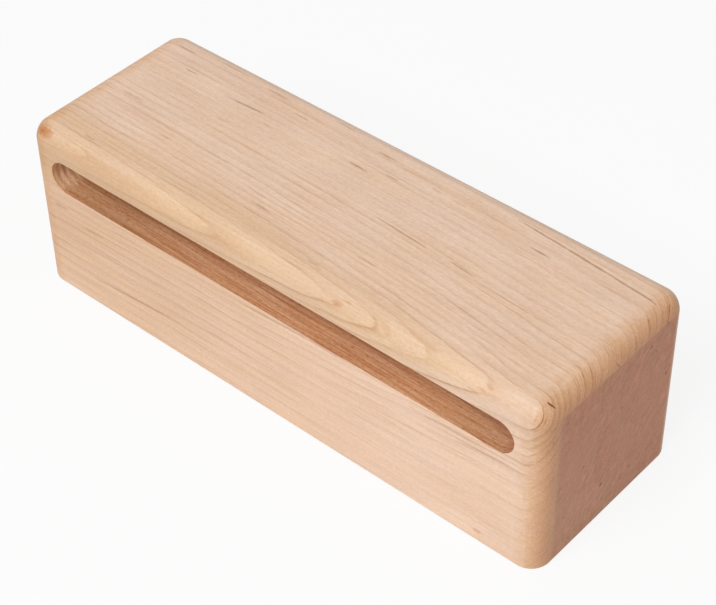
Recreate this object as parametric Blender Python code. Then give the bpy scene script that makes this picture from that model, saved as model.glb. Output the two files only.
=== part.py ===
"""Hard maple wood block: one solid billet, rounded over, with one deep slot routed in from the front.

The wood is one piece. Its thin top, left standing above the slot, is the plate that a beater
strikes, and the slot behind the mouth is the air space that gives the note its body.

Frame: origin at the middle of the underside, +X along the block, -Y towards the slot's mouth,
+Z up. Everything is in metres.
"""
import math

import bmesh
import bpy

# The billet
LENGTH = 0.1905            # 7 1/2 in along the grain
WIDTH = 0.0635             # 2 1/2 in
HEIGHT = 0.0596            # 2 3/8 in, less the planing and sanding of the top
ROUND_OVER = 0.00635       # 1/4 in router bit, on the top edges and the upright edges
BASE_EASE = 0.0008         # sanded corner round the underside
ROUND_SEGMENTS = 10
EASE_SEGMENTS = 2

# The slot, cut with a 7/16 in end mill, so both its ends are half round
SLOT_LENGTH = 0.1721
SLOT_HEIGHT = 0.0111
SLOT_DEPTH = 0.0480
TOP_PLATE = 0.0093         # wood left above the slot, the part that is struck
MOUTH_EASE = 0.0002        # barely sanded corner round the mouth
SLOT_END_SEGMENTS = 16     # over each half-round end
CUTTER_LEAD = 0.0020       # how far the cutter starts in front of the face

# Bare hard maple under a thin satin oil
MAPLE_COLOUR = (0.738, 0.510, 0.366, 1.0)
MAPLE_ROUGHNESS = 0.45


def clear_scene():
    """Remove whatever the file opened with."""
    for item in list(bpy.data.objects):
        bpy.data.objects.remove(item, do_unlink=True)


def add_object(name, bm):
    """Turn a bmesh into an object in the scene and free the bmesh."""
    mesh = bpy.data.meshes.new(name)
    bm.to_mesh(mesh)
    bm.free()
    item = bpy.data.objects.new(name, mesh)
    bpy.context.scene.collection.objects.link(item)
    return item


def maple_material():
    """Pale, slightly pink maple with a low satin shine."""
    material = bpy.data.materials.new("hard_maple")
    material.use_nodes = True
    shader = material.node_tree.nodes["Principled BSDF"]
    shader.inputs["Base Color"].default_value = MAPLE_COLOUR
    shader.inputs["Roughness"].default_value = MAPLE_ROUGHNESS
    shader.inputs["Metallic"].default_value = 0.0
    return material


def is_upright(edge):
    """True for an edge that runs along Z."""
    along = edge.verts[1].co - edge.verts[0].co
    return abs(along.z) > 0.5 * along.length


def on_level(edge, height):
    """True for an edge whose two ends lie at the given height."""
    return all(abs(vert.co.z - height) < 1e-6 for vert in edge.verts)


def rounded_billet():
    """The block before routing: a box with its top and upright edges rounded over."""
    bm = bmesh.new()
    bmesh.ops.create_cube(bm, size=1.0)
    bmesh.ops.scale(bm, vec=(LENGTH, WIDTH, HEIGHT), verts=bm.verts)
    bmesh.ops.translate(bm, vec=(0.0, 0.0, HEIGHT / 2), verts=bm.verts)

    routed_edges = [edge for edge in bm.edges if is_upright(edge) or on_level(edge, HEIGHT)]
    bmesh.ops.bevel(
        bm, geom=routed_edges, offset=ROUND_OVER, offset_type='OFFSET',
        segments=ROUND_SEGMENTS, profile=0.5, affect='EDGES', material=-1,
    )

    base_edges = [edge for edge in bm.edges if on_level(edge, 0.0)]
    bmesh.ops.bevel(
        bm, geom=base_edges, offset=BASE_EASE, offset_type='OFFSET',
        segments=EASE_SEGMENTS, profile=0.5, affect='EDGES', material=-1,
    )
    return add_object("maple_block", bm)


def slot_ring(bm, y, radius):
    """One stadium-shaped loop of vertices in the plane at y, wound the same way each time."""
    centre_z = HEIGHT - TOP_PLATE - SLOT_HEIGHT / 2
    half_run = (SLOT_LENGTH - SLOT_HEIGHT) / 2
    ring = []
    for side in (1, -1):
        for step in range(SLOT_END_SEGMENTS + 1):
            angle = math.pi * (step / SLOT_END_SEGMENTS - 0.5)
            x = side * (half_run + radius * math.cos(angle))
            z = centre_z + side * radius * math.sin(angle)
            ring.append(bm.verts.new((x, y, z)))
    return ring


def slot_cutter():
    """The space that the end mill and the sanded mouth take out, as a closed solid."""
    front = -WIDTH / 2
    radius = SLOT_HEIGHT / 2
    stations = (
        (front - CUTTER_LEAD, radius + MOUTH_EASE + CUTTER_LEAD),
        (front + MOUTH_EASE, radius),
        (front + SLOT_DEPTH, radius),
    )
    bm = bmesh.new()
    rings = [slot_ring(bm, y, ring_radius) for y, ring_radius in stations]
    count = len(rings[0])
    for near, far in zip(rings, rings[1:]):
        for i in range(count):
            j = (i + 1) % count
            bm.faces.new((near[i], near[j], far[j], far[i]))
    bm.faces.new(rings[0])
    bm.faces.new(rings[-1])
    bmesh.ops.recalc_face_normals(bm, faces=bm.faces)
    cutter = add_object("slot_cutter", bm)
    cutter.hide_render = True
    cutter.display_type = 'WIRE'
    return cutter


def route_slot(block, cutter):
    """Take the cutter's space out of the block."""
    routing = block.modifiers.new("slot", 'BOOLEAN')
    routing.operation = 'DIFFERENCE'
    routing.solver = 'EXACT'
    routing.object = cutter


def main():
    clear_scene()
    block = rounded_billet()
    block.data.materials.append(maple_material())
    block.data.shade_smooth()
    block.data.set_sharp_from_angle(angle=math.radians(30))
    route_slot(block, slot_cutter())


main()
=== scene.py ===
# %% [markdown]
# # A wood block in hard maple
#
# An orchestral wood block is one billet of hard maple. Its top edges and its upright edges are rounded
# over with a router bit, and one long slot is cut in from the front, just under the top. The wood
# left above the slot is the plate that a beater strikes.
#
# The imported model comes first. It says how large the block is and where it stands, and
# every shape below is measured from it, so the fine model can't drift away from the solid one.

# %% Load the frame
import math

import bmesh
import bpy
from mathutils import Matrix, Vector


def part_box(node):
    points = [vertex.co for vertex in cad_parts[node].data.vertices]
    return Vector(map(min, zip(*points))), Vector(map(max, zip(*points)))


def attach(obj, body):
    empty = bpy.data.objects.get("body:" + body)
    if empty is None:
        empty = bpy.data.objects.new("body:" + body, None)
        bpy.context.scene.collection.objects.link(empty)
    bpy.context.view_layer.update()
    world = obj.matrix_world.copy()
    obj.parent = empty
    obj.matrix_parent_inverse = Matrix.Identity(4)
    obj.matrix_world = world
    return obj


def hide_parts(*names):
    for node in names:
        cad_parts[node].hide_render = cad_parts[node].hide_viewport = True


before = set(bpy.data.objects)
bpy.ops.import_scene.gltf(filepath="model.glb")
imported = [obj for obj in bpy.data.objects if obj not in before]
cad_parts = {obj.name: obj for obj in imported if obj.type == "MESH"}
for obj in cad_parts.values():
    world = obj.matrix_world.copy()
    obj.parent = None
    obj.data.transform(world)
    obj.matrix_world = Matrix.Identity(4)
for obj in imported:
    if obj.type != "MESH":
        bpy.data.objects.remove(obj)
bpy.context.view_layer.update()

MM = 0.001
low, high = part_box("maple_block")
length, width, height = high - low
print("block", [round(side / MM, 2) for side in (length, width, height)], "mm")

# %% [markdown]
# ## The camera
#
# A camera is fitted to a picture by matching straight edges: where they meet far away gives the
# direction, and how fast they close in gives the distance. A long lens from about 0.6 m away
# gives this block's gentle perspective. Its turn is kept as three plain angles: round the
# upright axis, down from the horizon, and a small roll.

# %% Camera
CAMERA_PLACE = Vector((0.2865, -0.31482, 0.40924))
CAMERA_TURN = math.radians(41.720)  # round the upright axis, away from looking square at the front
CAMERA_TILT = math.radians(47.620)  # up from looking straight down
CAMERA_ROLL = math.radians(-1.098)
CAMERA_LENS = 99.39  # mm, on a 36 mm sensor

camera_data = bpy.data.cameras.new("camera")
camera_data.lens = CAMERA_LENS
camera_data.sensor_width = 36.0
camera = bpy.data.objects.new("camera", camera_data)
bpy.context.scene.collection.objects.link(camera)
camera.matrix_world = (
    Matrix.Translation(CAMERA_PLACE)
    @ Matrix.Rotation(CAMERA_TURN, 4, "Z")
    @ Matrix.Rotation(CAMERA_TILT, 4, "X")
    @ Matrix.Rotation(CAMERA_ROLL, 4, "Z")
)
bpy.context.scene.camera = camera
print("camera", round(CAMERA_PLACE.length, 3), "m from the middle of the underside")

# %% [markdown]
# ## The billet
#
# The maker planes a square-edged billet, then runs a 1/4 in round-over bit along the top edges and the
# upright edges. In Blender the same order works: a cube brought to size, then a bevel on just those
# eight edges. A profile of 0.5 makes the bevel a true quarter circle, and with 24 segments its
# outline stays round even in a close view. The underside keeps its crisp edge, only eased with sandpaper.

# %% Square billet
block_mesh = bmesh.new()
bmesh.ops.create_cube(block_mesh, size=1.0)
bmesh.ops.scale(block_mesh, vec=(length, width, height), verts=block_mesh.verts)
bmesh.ops.translate(block_mesh, vec=(low + high) / 2, verts=block_mesh.verts)
print("billet", round(block_mesh.calc_volume() / MM**3 / 1000, 1), "cm3")

# %% Round over the edges
ROUND_OVER = 6.35 * MM  # 1/4 in bit
ROUND_SEGMENTS = 24
BASE_EASE = 0.8 * MM
EASE_SEGMENTS = 4


def runs_upright(edge):
    """True for an edge that runs along Z."""
    along = edge.verts[1].co - edge.verts[0].co
    return abs(along.z) > 0.5 * along.length


def lies_at(edge, axis, place):
    """True for an edge whose two ends lie in one plane across an axis, 0 for X to 2 for Z."""
    return all(abs(vert.co[axis] - place) < 1e-6 for vert in edge.verts)


bit_edges = [edge for edge in block_mesh.edges if runs_upright(edge) or lies_at(edge, 2, high.z)]
bmesh.ops.bevel(
    block_mesh, geom=bit_edges, offset=ROUND_OVER, offset_type="OFFSET",
    segments=ROUND_SEGMENTS, profile=0.5, affect="EDGES", material=-1,
)
base_edges = [edge for edge in block_mesh.edges if lies_at(edge, 2, low.z)]
bmesh.ops.bevel(
    block_mesh, geom=base_edges, offset=BASE_EASE, offset_type="OFFSET",
    segments=EASE_SEGMENTS, profile=0.5, affect="EDGES", material=-1,
)
print("rounded", round(block_mesh.calc_volume() / MM**3 / 1000, 1), "cm3,", len(block_mesh.faces), "faces")

# %% [markdown]
# ## The sound slot
#
# A 7/16 in end mill cuts the slot in passes, each a little deeper, so its ends are half round and
# each pass leaves a hair-fine step. A Boolean with a capsule would cut it too, but it leaves long thin
# triangles. Here the front face is inset down to the mouth's rectangle and pushed inwards. A bevel of
# half the slot's height on its four corner edges then turns each end into a half circle.

# %% Mark out the mouth on the front face
SLOT_LENGTH = 172.1 * MM
SLOT_HEIGHT = 11.1 * MM  # 7/16 in end mill
SLOT_DEPTH = 48.0 * MM
TOP_PLATE = 9.3 * MM  # wood left above the slot
SQUARE_FORWARD = -0.999  # a face whose normal's Y is below this looks straight forward
slot_middle = high.z - TOP_PLATE - SLOT_HEIGHT / 2

faces_forward = [face for face in block_mesh.faces if face.normal.y < SQUARE_FORWARD]
mouth = max(faces_forward, key=lambda face: face.calc_area())
bmesh.ops.inset_individual(block_mesh, faces=[mouth], thickness=1.0 * MM, use_even_offset=True)

middle = mouth.calc_center_median()
across = max(vert.co.x for vert in mouth.verts) - min(vert.co.x for vert in mouth.verts)
tall = max(vert.co.z for vert in mouth.verts) - min(vert.co.z for vert in mouth.verts)
bmesh.ops.scale(
    block_mesh, vec=(SLOT_LENGTH / across, 1.0, SLOT_HEIGHT / tall),
    space=Matrix.Translation(-middle), verts=mouth.verts,
)
bmesh.ops.translate(block_mesh, vec=(0.0, 0.0, slot_middle - middle.z), verts=mouth.verts)
print("mouth", round(mouth.calc_area() / MM**2), "mm2")

# %% Cut the first pass and round its ends
PASSES = 4
PASS_DEPTH = SLOT_DEPTH / PASSES
MOUTH_SEGMENTS = 24  # over each quarter of the half-round ends


def push_in(face, distance):
    """Push a face into the wood and return it at its new depth."""
    pushed = bmesh.ops.extrude_discrete_faces(block_mesh, faces=[face])["faces"][0]
    bmesh.ops.translate(block_mesh, vec=(0.0, distance, 0.0), verts=pushed.verts)
    return pushed


slot_end = push_in(mouth, PASS_DEPTH)
corner_edges = [
    edge for vert in slot_end.verts for edge in vert.link_edges
    if abs(edge.verts[0].co.y - edge.verts[1].co.y) > PASS_DEPTH / 2
]
bmesh.ops.bevel(
    block_mesh, geom=corner_edges, offset=SLOT_HEIGHT / 2, offset_type="OFFSET",
    segments=MOUTH_SEGMENTS, profile=0.5, affect="EDGES", clamp_overlap=False, material=-1,
)
bmesh.ops.remove_doubles(block_mesh, verts=block_mesh.verts, dist=0.001 * MM)
print("slot corners", len(corner_edges))

# %% Ease the mouth with sandpaper
MOUTH_EASE = 0.2 * MM

mouth_edges = [
    edge for edge in block_mesh.edges
    if lies_at(edge, 1, low.y) and min(face.normal.y for face in edge.link_faces) < SQUARE_FORWARD
    and max(face.normal.y for face in edge.link_faces) > -0.01
    and abs(edge.verts[0].co.x) < SLOT_LENGTH / 2 + MM and abs(edge.verts[1].co.x) < SLOT_LENGTH / 2 + MM
    and abs(edge.verts[0].co.z - slot_middle) < SLOT_HEIGHT / 2 + MM / 10
]
bmesh.ops.bevel(
    block_mesh, geom=mouth_edges, offset=MOUTH_EASE, offset_type="OFFSET",
    segments=EASE_SEGMENTS, profile=0.5, affect="EDGES", material=-1,
)
print("mouth edges", len(mouth_edges))

# %% Cut the deeper passes
PASS_STEP = 0.12 * MM  # the mill's drift between passes

in_the_slot = [
    face for face in block_mesh.faces
    if face.normal.y < SQUARE_FORWARD and face.calc_center_median().y > low.y + MM
]
slot_end = max(in_the_slot, key=lambda face: face.calc_area())
for cut in range(PASSES - 1):
    bmesh.ops.inset_individual(block_mesh, faces=[slot_end], thickness=PASS_STEP, use_even_offset=True)
    slot_end = push_in(slot_end, PASS_DEPTH)
open_edges = [edge for edge in block_mesh.edges if len(edge.link_faces) != 2]
print("slotted", round(block_mesh.calc_volume() / MM**3 / 1000, 1), "cm3,", len(open_edges), "open edges")

# %% [markdown]
# ## Shading the planed faces
#
# Smooth shading averages the normals of the faces round each corner, so a large flat face beside a
# bevel would look puffed up. A Weighted Normal modifier lets the large face win, which is how a
# planed face next to a routed edge looks. Edges over 30 degrees, such as those at the bottom of the
# slot, stay sharp.

# %% Make the block an object
shaped = bpy.data.meshes.new("maple_billet")
block_mesh.to_mesh(shaped)
block_mesh.free()
shaped.shade_smooth()
shaped.set_sharp_from_angle(angle=math.radians(30))
billet = bpy.data.objects.new("maple_billet", shaped)
bpy.context.scene.collection.objects.link(billet)
flattening = billet.modifiers.new("planed faces", "WEIGHTED_NORMAL")
flattening.mode = "FACE_AREA"
flattening.weight = 100
flattening.keep_sharp = True
print("billet mesh", len(shaped.polygons), "faces")

# %% Mark the routed faces
routed = shaped.attributes.new("routed", "FLOAT", "FACE")
for face in shaped.polygons:
    beside = abs(face.center.x) < SLOT_LENGTH / 2 + MOUTH_EASE
    level = abs(face.center.z - slot_middle) < SLOT_HEIGHT / 2 + MOUTH_EASE
    inside = low.y + MOUTH_EASE / 2 < face.center.y < high.y - MM
    routed.data[face.index].value = float(beside and level and inside)
print("routed faces", sum(mark.value > 0.5 for mark in routed.data))

# %% [markdown]
# ## Colours
#
# Paint shops and web pages give a colour as a hex value, in the sRGB scale that a screen shows. Blender's
# shaders count light, which runs on a linear scale, so each hex value is turned to linear once, here.

# %% Hex to linear, and one helper for nodes


def paint(hex_value):
    """An sRGB hex colour as the linear RGBA that shaders take."""
    channels = [int(hex_value[i:i + 2], 16) / 255 for i in (1, 3, 5)]
    linear = [c / 12.92 if c <= 0.04045 else ((c + 0.055) / 1.055) ** 2.4 for c in channels]
    return (*linear, 1.0)


def wire(tree, kind, inputs=None, **settings):
    """Add a shader node, give it its settings, fill or link its inputs, and return its outputs."""
    node = tree.nodes.new("ShaderNode" + kind)
    for name, value in settings.items():
        setattr(node, name, value)
    for key, value in (inputs or {}).items():
        if isinstance(value, bpy.types.NodeSocket):
            tree.links.new(value, node.inputs[key])
        else:
            node.inputs[key].default_value = value
    return node.outputs


print("maple", [round(c, 3) for c in paint("#E2BFA0")])

# %% [markdown]
# ## Hard maple: where the growth rings lie
#
# The common name is hard maple, or sugar maple: a pale, close-grained wood with thin brown lines
# where each year's growth ended. The lines that a sawn face shows are slices through the same
# curved sheets, so one field is worked out in the solid wood and every face cuts through it. That
# is why the figure carries on round each edge without a seam, as it does on a real block.
#
# Here the sheets face up and to the front, 53 degrees from the upright, with the bark side at the
# top front edge. They also dip along the block, which draws the long tongues on that edge. A Float
# Curve holds the dip, in millimetres along the block.

# %% Ring height
maple = bpy.data.materials.new("oiled_hard_maple")
maple.use_nodes = True
tree = maple.node_tree
tree.nodes.clear()

BARK_TILT = math.radians(53.0)
bark_way = Vector((0.0, -math.sin(BARK_TILT), math.cos(BARK_TILT)))
corner = Vector((0.0, low.y + ROUND_OVER, high.z - ROUND_OVER))
bark_top = (corner.dot(bark_way) + ROUND_OVER) / MM

place = wire(tree, "TexCoord")
millimetres = wire(
    tree, "VectorMath", {0: place["Object"], "Scale": 1 / MM}, operation="SCALE",
)[0]
axes = wire(tree, "SeparateXYZ", {0: millimetres})
below_bark = wire(
    tree, "Math",
    {0: wire(tree, "VectorMath", {0: millimetres, 1: bark_way}, operation="DOT_PRODUCT")["Value"],
     1: bark_top},
    operation="SUBTRACT",
)[0]
print("bark side at", round(bark_top, 1), "mm")

# %% Dip of the rings along the block
DIP_RANGE = (-2.0, 10.0)  # mm
DIP_POINTS = (  # mm along the block, mm of ring height
    (-95, 9.4), (-64, 9.1), (-39, 8.3), (-14, 7.27), (11, 6.15), (24, 5.35), (34, 4.7),
    (42, 4.05), (50, 3.2), (58, 2.45), (66, 1.4), (73, 0.55), (77, 0.05), (95, -1.2),
)
DIP_FADE = 80.0  # mm of depth over which the dip would fade out

along = wire(
    tree, "MapRange",
    {"Value": axes["X"], "From Min": low.x / MM, "From Max": high.x / MM, "To Min": 0.0, "To Max": 1.0},
)[0]
dip_curve = wire(tree, "FloatCurve", {"Value": along})
curve = dip_curve[0].node.mapping.curves[0]
span = DIP_RANGE[1] - DIP_RANGE[0]
points = [((x - low.x / MM) / (length / MM), (dip - DIP_RANGE[0]) / span) for x, dip in DIP_POINTS]
curve.points[0].location = points[0]
curve.points[1].location = points[-1]
for spot in points[1:-1]:
    curve.points.new(*spot)
dip_curve[0].node.mapping.update()
dip = wire(
    tree, "MapRange",
    {"Value": dip_curve[0], "To Min": DIP_RANGE[0], "To Max": DIP_RANGE[1]},
)[0]
fade = wire(
    tree, "Math", {0: below_bark, 1: 1 / DIP_FADE, 2: 1.0}, operation="MULTIPLY_ADD",
)[0]
even_height = wire(
    tree, "Math", {0: dip, 1: fade, 2: below_bark}, operation="MULTIPLY_ADD",
)[0]
print("dip", len(points), "points")

# %% [markdown]
# ## Which way the surface faces
#
# The same ring looks different on each face. Cut along the grain it is a soft line. Cut across, on
# the rounded right edge, it is a crisp dark one, because the tubes there are open and drink the oil.
# On the front side of the top edge the bit lifts the fibres a little, and the lines look ragged.
#
# Each such place gets a mask, a number that is 1 there and 0 elsewhere. The masks could be painted on
# the mesh, but the surface's own normal and position already say where they belong. Their borders
# are soft, because a router bit and a sanding block leave no hard ones. A Map Range node makes such
# a border, and RANGE_INPUTS says what the numbers in the tuples below are, in their order.

# %% Masks with soft borders, and strengths that change from place to place
RANGE_INPUTS = ("Value", "From Min", "From Max", "To Min", "To Max")  # of a Map Range node


def overlap(*places):
    """The product of some masks. One given as (value, start, full) grows softly from 0 to 1.

    Two more numbers after those say what it grows, or falls, from and to instead.
    """
    meeting = None
    for mask in places:
        if isinstance(mask, tuple):
            border = dict(zip(RANGE_INPUTS, mask))
            mask = wire(tree, "MapRange", border, interpolation_type="SMOOTHSTEP")[0]
        if meeting is not None:
            mask = wire(tree, "Math", {0: meeting, 1: mask}, operation="MULTIPLY")[0]
        meeting = mask
    return meeting


def changed(strength, *changes):
    """A strength with its changes. Each is a place and how much more there is there, or less."""
    for where, more in changes:
        strength = wire(
            tree, "Math", {0: where, 1: more, 2: strength}, operation="MULTIPLY_ADD",
        )[0]
    return strength


facing = wire(tree, "SeparateXYZ", {0: place["Normal"]})
end_on = wire(tree, "Math", {0: facing["X"]}, operation="ABSOLUTE")[0]
in_slot = wire(tree, "Attribute", attribute_name="routed")["Fac"]
print("masks read the normal, the place and the mark on the slot's faces")

# %% [markdown]
# The bit rubs the wood in patches as it rounds an edge over onto end grain, and the rubbing starts a
# few millimetres before the wood turns. The border of the sawn end strays a little as well.

# %% Rubbed edges and the sawn end
RUB_GRAIN = 0.25  # patches of rubbing in each mm
RUB_STRAY = 1.6  # how unevenly the router rubs the rounded edges
RUB_GROWS = (85.5, 90.5, 0.0, 0.28)  # mm from the middle, mm, rubbing at the first, at the second
RUB_SHOWS = (0.02, 0.52)  # rubbing that just shows, and that shows in full
SLOT_LESS = -0.75  # change of the rubbing on the slot's own ends
BORDER_GRAIN = 0.9  # strays of the sawn end's border in each mm
BORDER_STRAY = 0.02  # how far it strays, in the normal's X
SAWN_FACING = (0.978, 0.9965)  # the normal's X where the sawn end starts and is full
SAWN_FRONT = (-25.8, -23.4)  # mm across the block, the same at the end's front side

patchy = wire(
    tree, "TexNoise", {"Vector": millimetres, "Scale": RUB_GRAIN, "Detail": 3.0},
)["Fac"]
patchy = changed(1.0 - RUB_STRAY / 2, (patchy, RUB_STRAY))
from_middle = wire(tree, "Math", {0: axes["X"]}, operation="ABSOLUTE")[0]
worn = overlap((from_middle, *RUB_GROWS))
rub_place = wire(tree, "Math", {0: end_on, 1: worn}, operation="MAXIMUM")[0]
rub_place = overlap(rub_place, patchy)
rubbed = overlap((rub_place, *RUB_SHOWS), changed(1.0, (in_slot, SLOT_LESS)))
border = wire(
    tree, "TexNoise", {"Vector": millimetres, "Scale": BORDER_GRAIN, "Detail": 2.0},
)["Fac"]
border = wire(tree, "Math", {0: border, 1: 0.5}, operation="SUBTRACT")[0]
border = changed(end_on, (border, BORDER_STRAY))
sawn = overlap((border, *SAWN_FACING), (axes["Y"], *SAWN_FRONT))
print("rubbing starts", RUB_GROWS[0], "mm from the middle")

# %% Front side of the top edge
FRONT_FACING = (-0.78, -0.93)  # the normal's Y where the front side starts and is full
ABOVE_SLOT = (44.0, 49.0)  # mm of height
TONGUES = (-60.0, 10.0)  # mm along the block, where the long tongues start and are full

above_slot = overlap((axes["Z"], *ABOVE_SLOT))
lifted = overlap((facing["Y"], *FRONT_FACING), above_slot)
tongue_side = overlap((axes["X"], *TONGUES))
lifted_right = overlap(lifted, tongue_side)
lifted_left = wire(tree, "Math", {0: lifted, 1: lifted_right}, operation="SUBTRACT")[0]
print("tongues start at", TONGUES[0], "mm")

# %% [markdown]
# On the rounded ends the lines are crisp where the wood turns up, and at the top of the upright
# edges, on the shoulder. They are crispest on the right front corner, which is round like a ball.
# Further down the upright edges they fade.

# %% Upper and upright parts of the rounded ends
TURNED_UP = (0.0, 0.40, 0.12, 1.0)  # the normal's Z on an upright and an upper edge, share of each
SHOULDER = (38.0, 48.0, 0.0, 0.85)  # mm of height, mm, its share at the first, at the second
HIGH_UP = (14.0, 42.0, 0.35, 1.0)  # mm of height, mm, strength at the first, at the second
BALL = (-18.0, -26.0)  # mm across the block where the corner starts and is full

up_turned = wire(tree, "MapRange", dict(zip(RANGE_INPUTS, (facing["Z"], *TURNED_UP))))[0]
shoulder = overlap((axes["Z"], *SHOULDER))
up_turned = wire(tree, "Math", {0: up_turned, 1: shoulder}, operation="MAXIMUM")[0]
high_up = wire(tree, "MapRange", dict(zip(RANGE_INPUTS, (axes["Z"], *HIGH_UP))))[0]
rounded = wire(tree, "Math", {0: rubbed, 1: sawn}, operation="SUBTRACT")[0]
rounded_end = overlap(rounded, up_turned, high_up)
upright_end = wire(tree, "Math", {0: rounded, 1: rounded_end}, operation="SUBTRACT")[0]
ball = overlap((axes["Y"], *BALL), rounded_end, tongue_side)
print("shoulder", SHOULDER[:2], "mm, corner", BALL, "mm")

# %% [markdown]
# ## Wander of the rings
#
# Wood's figure is drawn out along the grain, because its fibres run that way, so nearly every noise
# here is stretched along X. One function does that for all of them.
#
# No ring is a perfect sheet. A slow wander over centimetres makes the lines drift, and a quick one
# over millimetres makes them look drawn by hand. On the front side of the top edge the quick ones
# are mostly lost, which keeps the tongues' outlines smooth.

# %% Noise drawn out along the grain


def streaks(reach, detail, seed=0.0, spread=None, becomes=(0.0, 1.0)):
    """Noise drawn out along the grain: reach is its size in mm along and across the fibres.

    With a spread, the noise between its two values is stretched over those of becomes.
    """
    stretched = wire(
        tree, "Mapping",
        {"Vector": millimetres, "Location": (seed, seed, seed),
         "Scale": (1 / reach[0], 1 / reach[1], 1 / reach[1])},
    )[0]
    noise = wire(
        tree, "TexNoise", {"Vector": stretched, "Scale": 1.0, "Detail": detail},
    )["Fac"]
    if spread is None:
        return noise
    return wire(tree, "MapRange", dict(zip(RANGE_INPUTS, (noise, *spread, *becomes))))[0]


print("fibres run along X")

# %% Wander of the rings
WANDER = (  # mm along, mm across, mm of travel, share lost above the slot
    (70.0, 16.0, 1.1, 0.0), (16.0, 3.2, 0.32, 0.0), (5.0, 0.9, 0.10, 0.75), (2.2, 0.4, 0.05, 0.9),
)

ring_height = even_height
for along_reach, across_reach, travel, lost in WANDER:
    noise = streaks((along_reach, across_reach), 1.0)
    centred = wire(tree, "Math", {0: noise, 1: 0.5}, operation="SUBTRACT")[0]
    centred = overlap(centred, changed(1.0, (lifted, -lost)))
    ring_height = changed(ring_height, (centred, travel * 2))
print("wander", len(WANDER), "scales")

# %% [markdown]
# ## Pin knots
#
# Where a tiny twig started and died, the rings bulge round a brown spot a few millimetres wide. Each
# knot is a soft ellipsoid in the wood: it lifts the rings near it, and its heart is stained. A
# little noise on the distance keeps the stain from looking like a painted dot. One of them lifts
# the rings without a stain, and those with no lift are plain stains.

# %% Distance from a soft ellipsoid


def away_from(heart, half_sizes, turn=(0.0, 0.0, 0.0)):
    """How far a point is from an ellipsoid's heart, counted so that its skin lies at 1."""
    near = wire(
        tree, "Mapping",
        {"Vector": millimetres, "Location": heart, "Rotation": turn, "Scale": half_sizes},
        vector_type="TEXTURE",
    )[0]
    return wire(tree, "VectorMath", {0: near}, operation="LENGTH")["Value"]


print("an ellipsoid's skin lies at 1")

# %% Pin knots
KNOTS = (  # x, y, z of the heart, half length, half width, lift of the rings, depth of the stain
    (25.2, -30.6, 56.9, 1.9, 1.0, 0.30, 0.50),
    (28.6, -29.3, 58.2, 1.8, 0.45, 0.00, 0.45),
    (-89.2, -30.0, 57.6, 4.4, 2.3, 0.20, 0.80),
    (-90.0, -30.2, 57.4, 2.2, 1.1, 0.00, 1.00),
    (70.0, -28.4, 58.9, 6.0, 0.8, 0.60, 0.00),
    (76.6, -29.9, 57.7, 1.6, 0.75, 0.00, 0.30),
    (74.8, -30.8, 56.6, 2.2, 0.75, 0.00, 0.34),
    (72.0, -31.3, 55.3, 2.4, 0.60, 0.00, 0.28),
    (22.0, -31.7, 39.3, 9.0, 0.70, 0.00, 0.42),
    (75.4, -31.7, 4.0, 2.1, 1.20, 0.00, 0.40),
)
KNOT_REACH = 3.0  # how far past the stain the rings bulge
RAGGED = 0.55  # how far the stain's edge strays, as a share of its size
STAIN_FADES = (RAGGED + 0.3, RAGGED + 1.0)  # where the stain starts to fade, and where it ends
EDGE_GRAIN = 0.9  # strays of its edge in each mm

rough_edge = wire(
    tree, "TexNoise", {"Vector": millimetres, "Scale": EDGE_GRAIN, "Detail": 2.0},
)["Fac"]
knot_stain = 0.0
for x, y, z, half_long, half_wide, lift, stain in KNOTS:
    away = away_from((x, y, z), (half_long, half_wide, half_wide))
    stained = overlap((changed(away, (rough_edge, RAGGED * 2)), *STAIN_FADES, stain, 0.0))
    bulge = overlap((away, 0.0, KNOT_REACH, lift, 0.0))
    ring_height = wire(tree, "Math", {0: ring_height, 1: bulge}, operation="ADD")[0]
    knot_stain = wire(tree, "Math", {0: stained, 1: knot_stain}, operation="MAXIMUM")[0]
print("pin knots", len(KNOTS))

# %% [markdown]
# Down the upright edges the bit runs along the ends of the fibres and tears them a little, so the
# lines ripple there.

# %% Ripple of the rings where the bit meets end grain
RIPPLE = (2.4, 0.5)  # mm from crest to crest, mm of ring height

crests = wire(
    tree, "TexNoise", {"Vector": millimetres, "Scale": 1 / RIPPLE[0], "Detail": 1.0},
)["Fac"]
crests = wire(tree, "Math", {0: crests, 1: 0.5}, operation="SUBTRACT")[0]
ring_height = changed(ring_height, (overlap(crests, upright_end), RIPPLE[1]))
print("ripple", RIPPLE, "mm")

# %% [markdown]
# ## Counting the rings
#
# Maple rings are 1 to 3 mm wide, wide in good years and narrow in poor ones, so even
# stripes look false. Each stretch below counts its rings as the height falls from its upper
# line to its lower one, and the sum is a ring count that rises by one at each line. Its whole part
# names the ring, and its fraction says how far into that year a point lies.

# %% Ring count
RINGS = (  # mm of height where the ring's dark line lies, strength of the line
    (13.0, 0.4), (11.2, 0.5), (9.2, 0.5), (7.3, 0.8), (5.4, 0.8), (4.0, 0.7), (2.2, 0.6), (-0.2, 1.0),
    (-2.4, 0.6), (-4.6, 0.6), (-6.2, 0.3), (-7.8, 0.6), (-9.6, 0.9), (-12.0, 0.6), (-15.0, 0.6),
    (-17.4, 0.6), (-20.0, 0.5), (-22.4, 0.3), (-25.0, 0.2), (-27.3, 0.2), (-29.5, 0.3), (-32.0, 0.35),
    (-33.5, 0.2), (-37.2, 0.45), (-41.5, 0.35),
)
EVEN_STRETCHES = ((-41.5, -90.0, 24),)  # mm, mm, rings
LINE_LEAD = 0.07  # share of a year by which its dark line starts early

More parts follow.
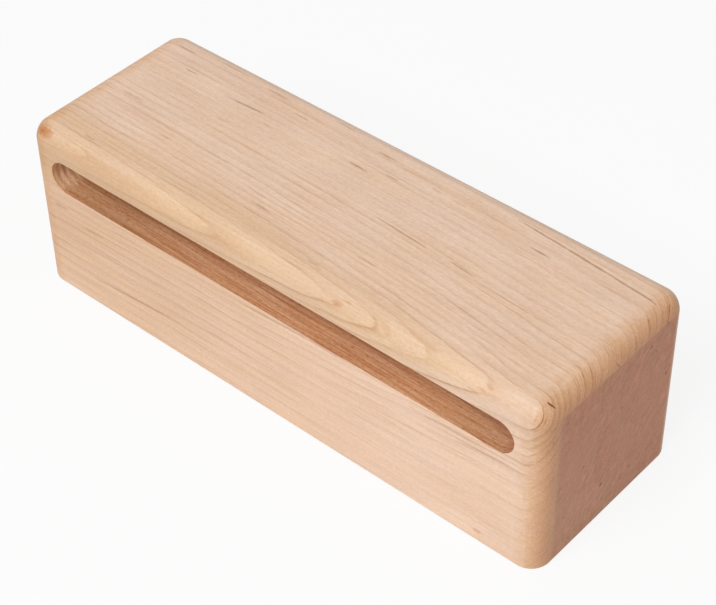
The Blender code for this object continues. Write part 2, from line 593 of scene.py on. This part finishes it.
lines = [line for line, strength in RINGS]
stretches = [(upper, lower, 1) for upper, lower in zip(lines, lines[1:])] + list(EVEN_STRETCHES)
ring_count = LINE_LEAD
for upper, lower, rings in stretches:
    stretch = dict(zip(RANGE_INPUTS, (ring_height, upper, lower, 0.0, float(rings))))
    counted = wire(tree, "MapRange", stretch)[0]
    ring_count = wire(tree, "Math", {0: counted, 1: ring_count}, operation="ADD")[0]
into_ring = wire(tree, "Math", {0: ring_count}, operation="FRACT")[0]
ring_name = wire(tree, "Math", {0: ring_count}, operation="FLOOR")[0]
print("rings", sum(rings for *_, rings in stretches))

# %% [markdown]
# A ramp with constant steps gives each listed ring its own strength. The rings below them, deep
# in the block, draw lots for theirs. On the upright edges no ring is weaker than a least strength.

# %% Strength of each ring's line
UPRIGHT_LEAST = 0.55  # the least strength on the rounded upright edges
DEEP_LOTS = (0.15, 0.6)  # between these the deep rings draw theirs

ramp_step = 0.5 / len(RINGS)  # the listed rings share the ramp's first half
ramp_place = changed(ramp_step / 2, (ring_name, ramp_step))
ramp = wire(tree, "ValToRGB", {"Fac": ramp_place})
steps = ramp[0].node.color_ramp
steps.interpolation = "CONSTANT"
steps.elements[1].position = 0.5
steps.elements[1].color = (0.0, 0.0, 0.0, 1.0)
steps.elements[0].color = (RINGS[0][1],) * 3 + (1.0,)
for number, (line, strength) in enumerate(RINGS[1:], start=1):
    steps.elements.new(number * 0.5 / len(RINGS)).color = (strength,) * 3 + (1.0,)
lots = wire(tree, "TexWhiteNoise", {"W": ring_name}, noise_dimensions="1D")["Value"]
deep_strength = wire(
    tree, "MapRange", dict(zip(RANGE_INPUTS, (lots, 0.0, 1.0, *DEEP_LOTS))),
)[0]
is_deep = wire(
    tree, "Math", {0: ring_name, 1: len(RINGS) - 0.5}, operation="GREATER_THAN",
)[0]
ring_strength = changed(ramp["Color"], (deep_strength, is_deep))
least = overlap(upright_end, UPRIGHT_LEAST)
ring_strength = wire(tree, "Math", {0: ring_strength, 1: least}, operation="MAXIMUM")[0]
print("ramp steps", len(steps.elements))

# %% [markdown]
# Two patches of this block are calmer than the rest, with faint lines: the lower right of the front,
# and the middle of the top.

# %% Calm patches
CALM_FRONT = (("Z", 36.0, 26.0), ("X", -20.0, 45.0), ("Y", -20.0, -27.0))  # axis, mm at start and full
CALM_TOP = (("Z", 50.0, 54.0), ("Y", -1.0, 3.5), ("Y", 18.0, 13.0), ("X", 40.0, 5.0))
CALM_LESS = -0.6  # change of the calm on the rounded edges

calm, calm_top = (
    overlap(*((axes[axis], start, full) for axis, start, full in borders))
    for borders in (CALM_FRONT, CALM_TOP)
)
calm = overlap(calm, changed(1.0, (rounded, CALM_LESS)))
print("calm patches", CALM_FRONT, CALM_TOP)

# %% [markdown]
# ## Ring lines and bands
#
# A year ends in a thin brown line and starts again pale, so a line has one crisp side, towards the
# bark, and fades off on the other. Lines also come and go along the block, and some are broader than
# others. On the rounded right edge they are steadier and end sooner. A band of slightly deeper
# colour lies behind each line.

# %% Lines and their breaks
LINE_TAIL = (0.10, 0.31)  # share of a year over which a narrow and a broad line fade
CRISP = 0.5  # how much sooner they fade on the rounded right edge
STEADY = 0.7  # how steady they are there at least

tail = streaks((26.0, 3.0), 1.0, 11.0, (0.35, 0.65), LINE_TAIL)
tail = changed(LINE_LEAD, (tail, changed(1.0, (rounded_end, -CRISP))))
rise = overlap((into_ring, 0.0, LINE_LEAD))
fall = overlap((into_ring, LINE_LEAD, tail, 1.0, 0.0))
line = wire(tree, "Math", {0: rise, 1: fall}, operation="MINIMUM")[0]
presence = streaks((24.0, 4.0), 2.0, 3.0, (0.38, 0.60), (0.10, 1.0))
presence = wire(
    tree, "Math", {0: presence, 1: overlap(rounded_end, STEADY)}, operation="MAXIMUM",
)[0]
broken = streaks((4.0, 0.35), 2.0, 13.0, (0.35, 0.60), (0.50, 1.0))
broken = wire(tree, "Math", {0: broken, 1: rounded_end}, operation="MAXIMUM")[0]
print("line tail", LINE_TAIL, "of a year")

# %% Bands behind the lines
BAND_FADES = (0.05, 0.85, 1.0, 0.0)  # share of a year, share, strength at the first, at the second
BAND_CHANGES = (  # where, and how much more a band shows there
    (lifted_right, 0.6), (lifted_left, -0.4), (sawn, -0.6), (upright_end, -0.6), (calm, -0.6),
    (calm_top, -0.5), (ball, 0.7),
)

band = wire(
    tree, "MapRange", dict(zip(RANGE_INPUTS, (into_ring, *BAND_FADES))),
    interpolation_type="SMOOTHERSTEP",
)[0]
band = wire(tree, "Math", {0: band, 1: rise}, operation="MINIMUM")[0]
band = overlap(band, changed(1.0, *BAND_CHANGES))
print("bands change in", len(BAND_CHANGES), "places")

# %% Depth of the lines on each face
LINE_CHANGES = (  # where, and how much more a line shows there
    (rounded_end, 0.12), (upright_end, -0.15), (sawn, -0.65), (lifted_right, 0.30),
    (lifted_left, -0.45), (calm, -0.68), (calm_top, -0.6), (ball, 0.8),
)
LEAST_BOOST = 0.15

boost = changed(1.0, *LINE_CHANGES)
boost = wire(tree, "Math", {0: boost, 1: LEAST_BOOST}, operation="MAXIMUM")[0]
line_depth = overlap(line, presence, ring_strength, broken, boost)
print("lines change in", len(LINE_CHANGES), "places")

# %% [markdown]
# Dry spells leave finer lines between the rings. They draw lots too, so that some show and some
# don't, and noise on their count keeps them from being evenly spaced. On the rounded right edge the
# open tubes show nearly all of them, gathered in bundles.

# %% Dry-spell lines
DRY_SPELLS = 3.0  # in each year
DRY_STRAY = 0.9  # lines by which their place strays
DRY_STRAY_GRAIN = 1.3  # strays in each year
DRY_WIDTH = 0.20  # of the way from one line to the next

stray = wire(
    tree, "TexNoise", {"W": ring_count, "Scale": DRY_STRAY_GRAIN, "Detail": 1.0},
    noise_dimensions="1D",
)["Fac"]
dry_count = wire(tree, "Math", {0: ring_count, 1: DRY_SPELLS}, operation="MULTIPLY")[0]
dry_count = changed(dry_count, (stray, DRY_STRAY * 2))
dry_wave = wire(tree, "Math", {0: dry_count, 1: 0.5}, operation="PINGPONG")[0]
dry_line = overlap((dry_wave, 0.0, DRY_WIDTH, 1.0, 0.0))
print("dry-spell lines", DRY_SPELLS, "a year")

# %% Strength of the dry-spell lines
DRY_LOTS = (0.2, 1.0)  # a lot below the first draws no line, one at the second a full one
BUNDLES = (0.80, 1.20, 0.10, 0.55)  # rubbing between bundles, in them, least strength for each
DRY_SHARE = (0.2, 0.6, 0.25, 1.0)  # strength of a faint ring, of a clear one, share for each

dry_name = wire(tree, "Math", {0: dry_count}, operation="ROUND")[0]
dry_lots = wire(tree, "TexWhiteNoise", {"W": dry_name}, noise_dimensions="1D")["Value"]
dry_strength = wire(tree, "MapRange", dict(zip(RANGE_INPUTS, (dry_lots, *DRY_LOTS))))[0]
dry_least = wire(tree, "MapRange", dict(zip(RANGE_INPUTS, (patchy, *BUNDLES))))[0]
dry_least = overlap(dry_least, rounded_end)
dry_strength = wire(tree, "Math", {0: dry_strength, 1: dry_least}, operation="MAXIMUM")[0]
dry_presence = changed(streaks((13.0, 2.2), 2.0, 9.0, (0.42, 0.66)), (rounded_end, 0.4))
dry_share = wire(tree, "MapRange", dict(zip(RANGE_INPUTS, (ring_strength, *DRY_SHARE))))[0]
dry_share = changed(dry_share, (rounded_end, 2.6), (sawn, -0.5))
dry_line = overlap(dry_line, dry_presence, dry_strength, dry_share, boost)
print("least strength in a bundle", BUNDLES[3])

# %% [markdown]
# ## Fibres and pores
#
# Between the lines the wood isn't plain. Its fibres show as faint streaks a few tenths of a
# millimetre wide and centimetres long, and its pores as short tan dashes. True pores are about
# 0.1 mm wide. They are drawn at about 0.25 mm, the finest that the picture can hold.

# %% Fibres, pores and cloudiness
FIBRE_REACH = (20.0, 0.5)  # mm along, mm across
PORE_REACH = (3.0, 0.25)
CLOUD_REACH = (24.0, 8.0)
MOTTLE_REACH = (1.2, 0.6)  # the flecks of the rays, cut short

fibres = streaks(FIBRE_REACH, 3.0)
pores = streaks(PORE_REACH, 1.0, 5.0, (0.60, 0.72))
clouds = streaks(CLOUD_REACH, 2.0, 7.0)
mottle = streaks(MOTTLE_REACH, 2.0, 15.0)
print("fibres", FIBRE_REACH, "mm, pores", PORE_REACH, "mm")

# %% [markdown]
# ## Mineral streaks
#
# Hard maple often has short dark dashes where the tree took up minerals. They follow the grain. Each is
# a long thin ellipsoid laid between two points of a face, and fibre noise on its edge gives it the
# ragged ends of a real one.

# %% Places of the mineral streaks
TOP_STREAKS = (  # x, y of one end, x, y of the other, half width, depth
    (-88.0, 24.2, -80.0, 24.1, 0.45, 0.57), (-77.2, 16.9, -71.8, 16.8, 0.40, 0.66),
    (-57.4, 14.6, -42.4, 15.5, 0.43, 0.76), (-36.6, 21.5, -30.0, 21.1, 0.40, 0.47),
    (-71.0, 26.4, -60.0, 26.2, 0.40, 0.38), (-51.0, 25.2, -42.0, 25.0, 0.45, 0.57),
    (-25.0, 26.6, -16.5, 26.3, 0.40, 0.47), (-53.6, 5.6, -48.0, 5.7, 0.35, 0.33),
    (-10.8, 14.5, -2.4, 14.3, 0.43, 0.76), (2.0, 16.7, 6.8, 16.6, 0.42, 0.46),
    (-5.8, 23.4, 0.6, 23.2, 0.61, 0.47), (15.6, 20.5, 20.4, 20.4, 0.36, 0.40),
    (23.6, 20.1, 28.6, 19.9, 0.36, 0.34), (52.6, 18.0, 59.0, 17.7, 0.43, 0.76),
    (43.5, 25.0, 64.0, 23.4, 0.44, 0.74), (56.0, 24.1, 80.0, 22.1, 0.49, 0.84),
    (74.0, 22.6, 93.0, 20.9, 0.47, 0.81),
    (12.0, 0.9, 34.0, -0.6, 0.33, 0.76), (39.6, -0.5, 49.0, -1.3, 0.34, 0.66),
    (48.0, -2.3, 75.4, -3.7, 0.30, 0.48), (-60.2, -10.9, -55.6, -11.0, 0.39, 0.40),
    (-20.8, -12.6, -16.8, -12.8, 0.42, 0.28), (-17.8, -16.3, -11.6, -16.6, 0.43, 0.57),
    (19.4, -14.8, 26.4, -15.1, 0.39, 0.48), (-84.4, -3.2, -75.0, -3.0, 0.72, 0.28),
    (-41.2, 12.0, -37.2, 11.8, 0.35, 0.38), (-77.0, -25.2, -72.0, -25.3, 0.56, 0.38),
    (9.6, -24.6, 14.4, -24.8, 0.65, 0.28),
)
FRONT_STREAKS = (  # x, z of one end, x, z of the other, half width, depth
    (-87.5, 32.5, -80.9, 32.8, 0.26, 0.40), (-75.5, 29.4, -66.6, 29.8, 0.24, 0.30),
    (-71.0, 10.7, -37.0, 13.6, 0.19, 0.55), (-84.0, 21.3, -40.0, 24.0, 0.18, 0.25),
    (53.0, 36.2, 89.0, 38.0, 0.20, 0.42), (57.5, 34.4, 89.0, 36.3, 0.20, 0.38),
    (-10.3, 37.3, 18.0, 38.8, 0.20, 0.50), (12.0, 38.9, 32.0, 39.1, 0.34, 0.40),
    (33.4, 26.5, 89.0, 32.4, 0.18, 0.22),
)
END_STREAKS = (  # y, z of one end, y, z of the other, half width, depth
    (-3.8, 13.6, -3.2, 12.7, 0.30, 1.3), (14.6, 51.0, 15.4, 50.4, 0.20, 0.8),
    (17.5, 47.6, 18.1, 46.8, 0.20, 0.7), (-13.1, 27.9, -12.4, 27.1, 0.20, 0.7),
    (-20.7, 14.3, -19.8, 13.6, 0.20, 0.5), (9.4, 10.0, 10.6, 8.2, 0.20, 0.5),
    (23.7, 35.4, 24.5, 33.4, 0.24, 0.7), (2.6, 37.8, 3.3, 36.9, 0.18, 0.5),
)
BALL_STREAK = ((91.2, -26.0, 59.1), (93.4, -25.2, 57.8), 0.40, 2.0)
EDGE_STREAK = ((94.2, -1.6, 56.2), (95.2, 0.4, 54.1), 0.26, 0.7)

marks = [((x0, y0, high.z / MM), (x1, y1, high.z / MM), wide, deep)
         for x0, y0, x1, y1, wide, deep in TOP_STREAKS]
marks += [((x0, low.y / MM, z0), (x1, low.y / MM, z1), wide, deep)
          for x0, z0, x1, z1, wide, deep in FRONT_STREAKS]
marks += [((high.x / MM, y0, z0), (high.x / MM, y1, z1), wide, deep)
          for y0, z0, y1, z1, wide, deep in END_STREAKS]
marks += [BALL_STREAK, EDGE_STREAK]
print("mineral streaks", len(marks))

# %% Fray the streaks along the fibres
RAGGED_FIBRE = (2.6, 0.5)  # mm along, mm across
FIBRE_STRAY = 0.9  # how far they fray a streak, as a share of its size
STREAK_REACH = 0.64  # half its length, with what the fraying takes off
STREAK_FADES = (0.80, 1.50)  # where a streak starts to fade, and where it ends

ragged_fibre = streaks(RAGGED_FIBRE, 2.0, 2.0)
mineral = 0.0
for first, last, wide, deep in marks:
    run = Vector(last) - Vector(first)
    away = away_from(
        (Vector(first) + Vector(last)) / 2, (run.length * STREAK_REACH, wide, wide * 3),
        run.to_track_quat("X", "Z").to_euler(),
    )
    dark = overlap((changed(away, (ragged_fibre, FIBRE_STRAY)), *STREAK_FADES, deep, 0.0))
    mineral = wire(tree, "Math", {0: dark, 1: mineral}, operation="MAXIMUM")[0]
print("frayed by", FIBRE_STRAY)

# %% [markdown]
# ## Colour of the wood
#
# Sound maple is a pale pinkish tan. Thin oil deepens it a little. The colours below are mixed in the
# order that they lie in the wood: the ground, the bands, the lines, the pores, then the stains.

# %% Colour of the long grain
SAPWOOD = paint("#DDBB9C")
INNER_WOOD = paint("#E2C2AA")
BAND_TAN = paint("#C5946B")
LINE_BROWN = paint("#A06102")
PORE_TAN = paint("#B48159")
KNOT_ORANGE = paint("#BA701E")
MINERAL_BROWN = paint("#874E0C")
SAPWOOD_STARTS = (-2.2, 2.0)  # mm of ring height

# A colour Mix node's factor is input 0, its two colours are inputs 6 and 7, and the result is output 2.
from_bark = overlap((ring_height, *SAPWOOD_STARTS))
wood = wire(tree, "Mix", {0: from_bark, 6: INNER_WOOD, 7: SAPWOOD}, data_type="RGBA")[2]
layers = (  # mask, its share at most, colour
    (band, 0.16, BAND_TAN), (line_depth, 0.46, LINE_BROWN), (dry_line, 0.19, LINE_BROWN),
    (pores, 0.20, PORE_TAN), (knot_stain, 0.90, KNOT_ORANGE), (mineral, 0.70, MINERAL_BROWN),
)
for mask, most, colour in layers:
    amount = wire(tree, "Math", {0: mask, 1: most}, operation="MULTIPLY", use_clamp=True)[0]
    wood = wire(tree, "Mix", {0: amount, 6: wood, 7: colour}, data_type="RGBA")[2]
print("layers", len(layers))

# %% [markdown]
# From here on each finish only tints what lies under it, as a thin coloured varnish would. A few of the
# tints are painted shade instead, and say so where they are made. A tint is what the colour is
# multiplied by. Each goes into a list with the place it covers, and one loop at the end lays them all
# over the wood.
#
# The first tints are the wood's own. Its fibres, clouds and rays are a little darker or lighter than
# the rest. Darker wood is also a stronger colour, so blue changes more than red. Wide warm clouds
# drift over all of it.

# %% Fibre shade, clouds and mottle
SHADES = ((fibres, 0.05), (clouds, 0.03), (mottle, 0.045))  # noise, most that it darkens or lightens
WARMER = (1.0, 1.35, 1.7)  # how much more of it reaches red, green and blue
WARM_CLOUD = (0.995, 0.98, 0.93, 1.0)
WARM_REACH = (34.0, 7.0)  # mm along, mm across

tints = []  # where a tint lies, and the tint
for noise, most in SHADES:
    tone = wire(tree, "MapRange", {"Value": noise, "From Min": 0.3, "From Max": 0.7})[0]
    dark = (*(1 - most * more for more in WARMER), 1.0)
    light = (*(1 + most * more for more in WARMER), 1.0)
    tint = wire(tree, "Mix", {0: tone, 6: dark, 7: light}, data_type="RGBA")[2]
    tints.append((1.0, tint))
tints.append((streaks(WARM_REACH, 1.0, 31.0, (0.40, 0.62)), WARM_CLOUD))
print("tints of the wood's own", len(tints))

# %% [markdown]
# ## Honey at the lower left
#
# Towards the heart a board often turns from pinkish to honey. On this block the front's left half is
# warmer than its right half, so a slow drift across the wood takes it there. The front side of the
# top edge gets painted shade, a tint a little darker than the top that tones down the lamp's light there.

# %% Honey drift, and painted shade on the front side of the top edge
HONEY = (0.88, 0.81, 0.71, 1.0)
HONEY_ALONG = (70.0, -90.0)  # mm where the drift starts and is full
HONEY_ACROSS = (-28.5, -31.7)
HONEY_UP = (2.0, 24.0, 0.5, 1.0)  # mm of height, mm, its share at the first, at the second
# Painted shade: darkens the front side of the top edge, toning down the lamp's light there.
EDGE_PAINTED_SHADE = (0.945, 0.96, 0.965, 1.0)
EDGE_FACING = (-0.10, -0.45)  # the normal's Y where the duller side starts and is full

upward = wire(tree, "MapRange", dict(zip(RANGE_INPUTS, (axes["Z"], *HONEY_UP))))[0]
honey = overlap((axes["X"], *HONEY_ALONG), (axes["Y"], *HONEY_ACROSS), upward)
tints.append((honey, HONEY))
# Painted shade on the front side of the top edge, above the slot.
tints.append((overlap((facing["Y"], *EDGE_FACING), above_slot), EDGE_PAINTED_SHADE))
print("honey", HONEY[:3], "edge", EDGE_PAINTED_SHADE[:3])

# %% [markdown]
# ## End grain
#
# Across the ends the tree's tubes are cut open and drink the oil, so they turn darker. Where the
# router rounds an edge over onto end grain, it also rubs the wood, which leaves it a warm golden
# brown, while the sawn and sanded end is a duller brown. Its tint is partly that darker end grain and
# partly painted shade, on both ends of the block.

# %% Tint of the end grain, with painted shade on the sawn end
RUBBED = (0.91, 0.78, 0.62, 1.0)
RUBBED_END_ON = (0.79, 0.56, 0.385, 1.0)
# Partly the darker end grain, partly painted shade.
SAWN_END_WITH_PAINTED_SHADE = (0.68, 0.43, 0.325, 1.0)

most_end_on = wire(
    tree, "MapRange", {"Value": end_on, "From Min": 0.50, "From Max": 1.0},
)[0]
end_tint = wire(
    tree, "Mix", {0: most_end_on, 6: RUBBED, 7: RUBBED_END_ON}, data_type="RGBA",
)[2]
end_tint = wire(tree, "Mix", {0: sawn, 6: end_tint, 7: SAWN_END_WITH_PAINTED_SHADE}, data_type="RGBA")[2]
# On the sawn end this tint is partly painted shade.
tints.append((rubbed, end_tint))
print("sawn end", SAWN_END_WITH_PAINTED_SHADE[:3])

# %% [markdown]
# Streaks of denser wood run along the rings of the sawn end, and short flecks of the rays cross them.
# They gather in some parts and thin out in others. The end's low front corner is paler.

# %% Rays and bands of the sawn end
RAY_FLECK = (0.75, 3.2)  # mm along the rings, mm along the rays
DENSE_STREAK = (3.0, 1.0)  # mm along the rings, mm across them
END_BAND = (11.0, 4.0)  # mm along the rings, mm across them
GATHER_GRAIN = 0.09  # gatherings in each mm
GATHERED = (0.42, 0.58, 0.45, 1.0)  # noise between gatherings, in them, share of the streaks in each
PALE_CORNER = (1.03, 1.12, 1.15, 1.0)
CORNER_REACH = (26.0, -6.0)  # mm across plus mm up, where it starts and is full

along_ring = Vector((0.0, math.cos(BARK_TILT), math.sin(BARK_TILT)))
down_the_end = wire(
    tree, "VectorMath", {0: millimetres, 1: along_ring}, operation="DOT_PRODUCT",
)["Value"]


def end_noise(reach, detail):
    """Noise on the sawn end: reach is its size in mm along and across the rings."""
    grid = wire(
        tree, "CombineXYZ",
        {"X": wire(tree, "Math", {0: down_the_end, 1: 1 / reach[0]}, operation="MULTIPLY")[0],
         "Y": wire(tree, "Math", {0: below_bark, 1: 1 / reach[1]}, operation="MULTIPLY")[0]},
    )[0]
    cells = wire(tree, "TexNoise", {"Vector": grid, "Scale": 1.0, "Detail": detail})["Fac"]
    return wire(tree, "MapRange", {"Value": cells, "From Min": 0.34, "From Max": 0.66})[0]


end_layers = (  # noise, tint where it is low, tint where it is high
    (end_noise(RAY_FLECK, 1.0), (1.02, 1.02, 1.02, 1.0), (0.975, 0.965, 0.96, 1.0)),
    (end_noise(DENSE_STREAK, 2.5), (1.08, 1.11, 1.13, 1.0), (0.86, 0.775, 0.735, 1.0)),
    (end_noise(END_BAND, 2.0), (1.06, 1.02, 1.07, 1.0), (0.95, 0.99, 0.92, 1.0)),
)
gathered = wire(
    tree, "TexNoise", {"Vector": millimetres, "Scale": GATHER_GRAIN, "Detail": 1.0},
)["Fac"]
gathered = wire(tree, "MapRange", dict(zip(RANGE_INPUTS, (gathered, *GATHERED))))[0]
gathered = overlap(gathered, sawn)
for noise, when_low, when_high in end_layers:
    tint = wire(tree, "Mix", {0: noise, 6: when_low, 7: when_high}, data_type="RGBA")[2]
    tints.append((gathered, tint))
across_and_up = wire(tree, "Math", {0: axes["Y"], 1: axes["Z"]}, operation="ADD")[0]
tints.append((overlap((across_and_up, *CORNER_REACH), sawn), PALE_CORNER))
print("rays", RAY_FLECK, "mm, streaks", DENSE_STREAK, "mm, bands", END_BAND, "mm")

# %% [markdown]
# ## Inside the slot
#
# The end mill rubs and slightly scorches the wood as it cuts, and nobody sands in there, so its
# fibres stay torn and show as fine dark streaks. On the half-round ends each step of the cut leaves
# a line. Towards both ends the slot is darker, painted shade where the end walls keep the light out,
# and at its very left end it is tinted paler and greyer. The slot's faces carry a mark, set on the
# mesh, and the shader browns them.

# %% Scorched slot, with painted shade towards its ends
SCORCHED = (0.95, 0.785, 0.62, 1.0)
TORN_FIBRE = (0.68, 0.44, 0.24, 1.0)
# Painted shade darkens the slot towards both ends, where the end walls keep the light out; the tint at the
# very left end makes it paler and greyer.
SLOT_END_TINTS_AND_PAINTED_SHADE = (  # x where a tint starts, x where it is full, the tint
    (-20.0, -62.0, (0.87, 0.87, 0.84, 1.0)), (-80.0, -85.5, (1.50, 2.00, 2.70, 1.0)),
    (60.0, 82.0, (0.89, 0.89, 0.90, 1.0)),
)
TORN_REACH = (15.0, 0.32)  # mm along, mm across
DASH_REACH = (1.4, 0.28)
DASH_DEPTH = 0.6
CHATTER = 2.2  # mm between the lines of the cut
CHATTER_DEPTH = 1.9
END_LESS = -0.8  # change of the torn fibres on the slot's ends

torn = streaks(TORN_REACH, 1.5, 21.0, (0.40, 0.66), (0.0, 0.7))
torn = changed(torn, (streaks(DASH_REACH, 1.0, 23.0, (0.50, 0.70)), DASH_DEPTH))
torn = overlap(torn, changed(1.0, (end_on, END_LESS)))
cuts = wire(tree, "Math", {0: axes["Y"], 1: 1 / CHATTER}, operation="MULTIPLY")[0]
cut_wave = wire(tree, "Math", {0: cuts, 1: 0.5}, operation="PINGPONG")[0]
torn = changed(torn, (overlap(cut_wave, end_on), CHATTER_DEPTH))
torn = wire(tree, "Math", {0: torn, 1: in_slot}, operation="MULTIPLY", use_clamp=True)[0]
tints += [(in_slot, SCORCHED), (torn, TORN_FIBRE)]
# Painted shade towards the slot's ends, and the paler tint at its left end.
tints += [(overlap((axes["X"], start, full), in_slot), tint) for start, full, tint in SLOT_END_TINTS_AND_PAINTED_SHADE]
print("torn fibres", TORN_REACH, "mm")

# %% Lay the tints and the painted shade over the wood
for where, tint in tints:
    wood = wire(
        tree, "Mix", {0: where, 6: wood, 7: tint}, data_type="RGBA", blend_type="MULTIPLY",
    )[2]
print("tints", len(tints))

# %% [markdown]
# ## Surface
#
# The block is sanded fine and wiped with thin oil. That leaves a soft satin sheen: the wood's own
# roughness is fairly high, and the oil is a thin smoother coat over it. The slot, which nobody sanded,
# and the thirsty sawn end are duller.

# %% Bump and shader
RELIEF = 0.05 * MM  # from the fibres' hollows to their crests
PORE_DEPTH = -0.5  # a pore is a hollow, half as deep as that
DULLNESS = (0.3, 0.7, 0.60, 0.52)  # fibre noise in a hollow, on a crest, roughness of each
SLOT_DULLER = 0.2
SAWN_DULLER = 0.12

relief = wire(
    tree, "Bump",
    {"Strength": 0.25, "Distance": RELIEF, "Height": changed(fibres, (pores, PORE_DEPTH))},
)[0]
dullness = wire(tree, "MapRange", dict(zip(RANGE_INPUTS, (fibres, *DULLNESS))))[0]
dullness = changed(dullness, (in_slot, SLOT_DULLER), (sawn, SAWN_DULLER))
shader = wire(
    tree, "BsdfPrincipled",
    {"Base Color": wood, "Roughness": dullness, "IOR": 1.5, "Normal": relief,
     "Coat Weight": 0.12, "Coat Roughness": 0.18},
)
wire(tree, "OutputMaterial", {"Surface": shader["BSDF"]})
billet.data.materials.append(maple)
print("maple nodes", len(tree.nodes))

# %% Hand the block over to the frame
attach(billet, "root")
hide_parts("maple_block")
print(billet.name, "stands in for maple_block")

# %% [markdown]
# ## Floor, light and room
#
# The block stands on a plain pale floor in a plain pale room. The picture wants a nearly white
# background, but a floor and walls that bright would light the block from all sides and flatten it.
# So both are two things at once. The Light Path node tells what a ray is for: one from the camera or
# a reflection sees white, and one that carries light sees a plain matt floor and a dim room. The
# floor keeps a share of the matt surface in what the camera sees, and with it the block's shadow.

# %% Floor
FLOOR_SIZE = 4.0
FLOOR_WHITE = paint("#E8E8E8")

floor_mesh = bmesh.new()
bmesh.ops.create_grid(floor_mesh, x_segments=1, y_segments=1, size=FLOOR_SIZE / 2)
floor_data = bpy.data.meshes.new("floor")
floor_mesh.to_mesh(floor_data)
floor_mesh.free()
floor = bpy.data.objects.new("floor", floor_data)
bpy.context.scene.collection.objects.link(floor)

floor_paint = bpy.data.materials.new("matt_white_floor")
floor_paint.use_nodes = True
floor_tree = floor_paint.node_tree
floor_tree.nodes.clear()
floor_data.materials.append(floor_paint)


def sees_background(nodes):
    """1 for a ray from the camera, a reflection or a look through glass, 0 for one that carries light."""
    rays = wire(nodes, "LightPath")
    shiny = wire(
        nodes, "Math", {0: rays["Is Glossy Ray"], 1: rays["Is Transmission Ray"]},
        operation="MAXIMUM",
    )[0]
    return wire(nodes, "Math", {0: rays["Is Camera Ray"], 1: shiny}, operation="MAXIMUM")[0]


FLOOR_GLOW = 0.86  # how much of what the camera sees of the floor is plain white
WHITE = (1.0, 1.0, 1.0, 1.0)
matt = wire(floor_tree, "BsdfDiffuse", {"Color": FLOOR_WHITE})[0]
plain_white = wire(floor_tree, "Emission", {"Color": WHITE, "Strength": 1.0})[0]
share = wire(
    floor_tree, "Math", {0: sees_background(floor_tree), 1: FLOOR_GLOW}, operation="MULTIPLY",
)[0]
seen_floor = wire(floor_tree, "MixShader", {0: share, 1: matt, 2: plain_white})[0]
wire(floor_tree, "OutputMaterial", {"Surface": seen_floor})
print("floor", FLOOR_SIZE, "m wide")

# %% Room
ROOM_STRENGTH = 0.48

room = bpy.data.worlds.new("room")
bpy.context.scene.world = room
room.use_nodes = True
room_tree = room.node_tree
room_tree.nodes.clear()
soft_light = wire(
    room_tree, "Background", {"Color": WHITE, "Strength": ROOM_STRENGTH},
)[0]
white_wall = wire(room_tree, "Background", {"Color": WHITE, "Strength": 1.0})[0]
seen_room = wire(
    room_tree, "MixShader", {0: sees_background(room_tree), 1: soft_light, 2: white_wall},
)[0]
wire(room_tree, "OutputWorld", {"Surface": seen_room})
print("room light", ROOM_STRENGTH)

# %% [markdown]
# One large square lamp stands in front of the block, above the camera's height. Its size makes the
# shadow's edge soft, and its distance keeps the light even from one end of the block to the other.

# %% Lamps


def add_lamp(name, place, size, power):
    """A square soft lamp that looks at the middle of the block."""
    data = bpy.data.lights.new(name, "AREA")
    data.size = size
    data.energy = power
    lamp = bpy.data.objects.new(name, data)
    bpy.context.scene.collection.objects.link(lamp)
    lamp.location = place
    aim = Vector((0.0, 0.0, height / 2)) - lamp.location
    lamp.rotation_euler = aim.to_track_quat("-Z", "Y").to_euler()
    return lamp


key = add_lamp("key", (0.09, -0.85, 0.99), 0.6, 11.4)
print("key lamp", round(key.location.length, 2), "m away")

# %% View
bpy.context.scene.view_settings.view_transform = "Standard"
print("view", bpy.context.scene.view_settings.view_transform)
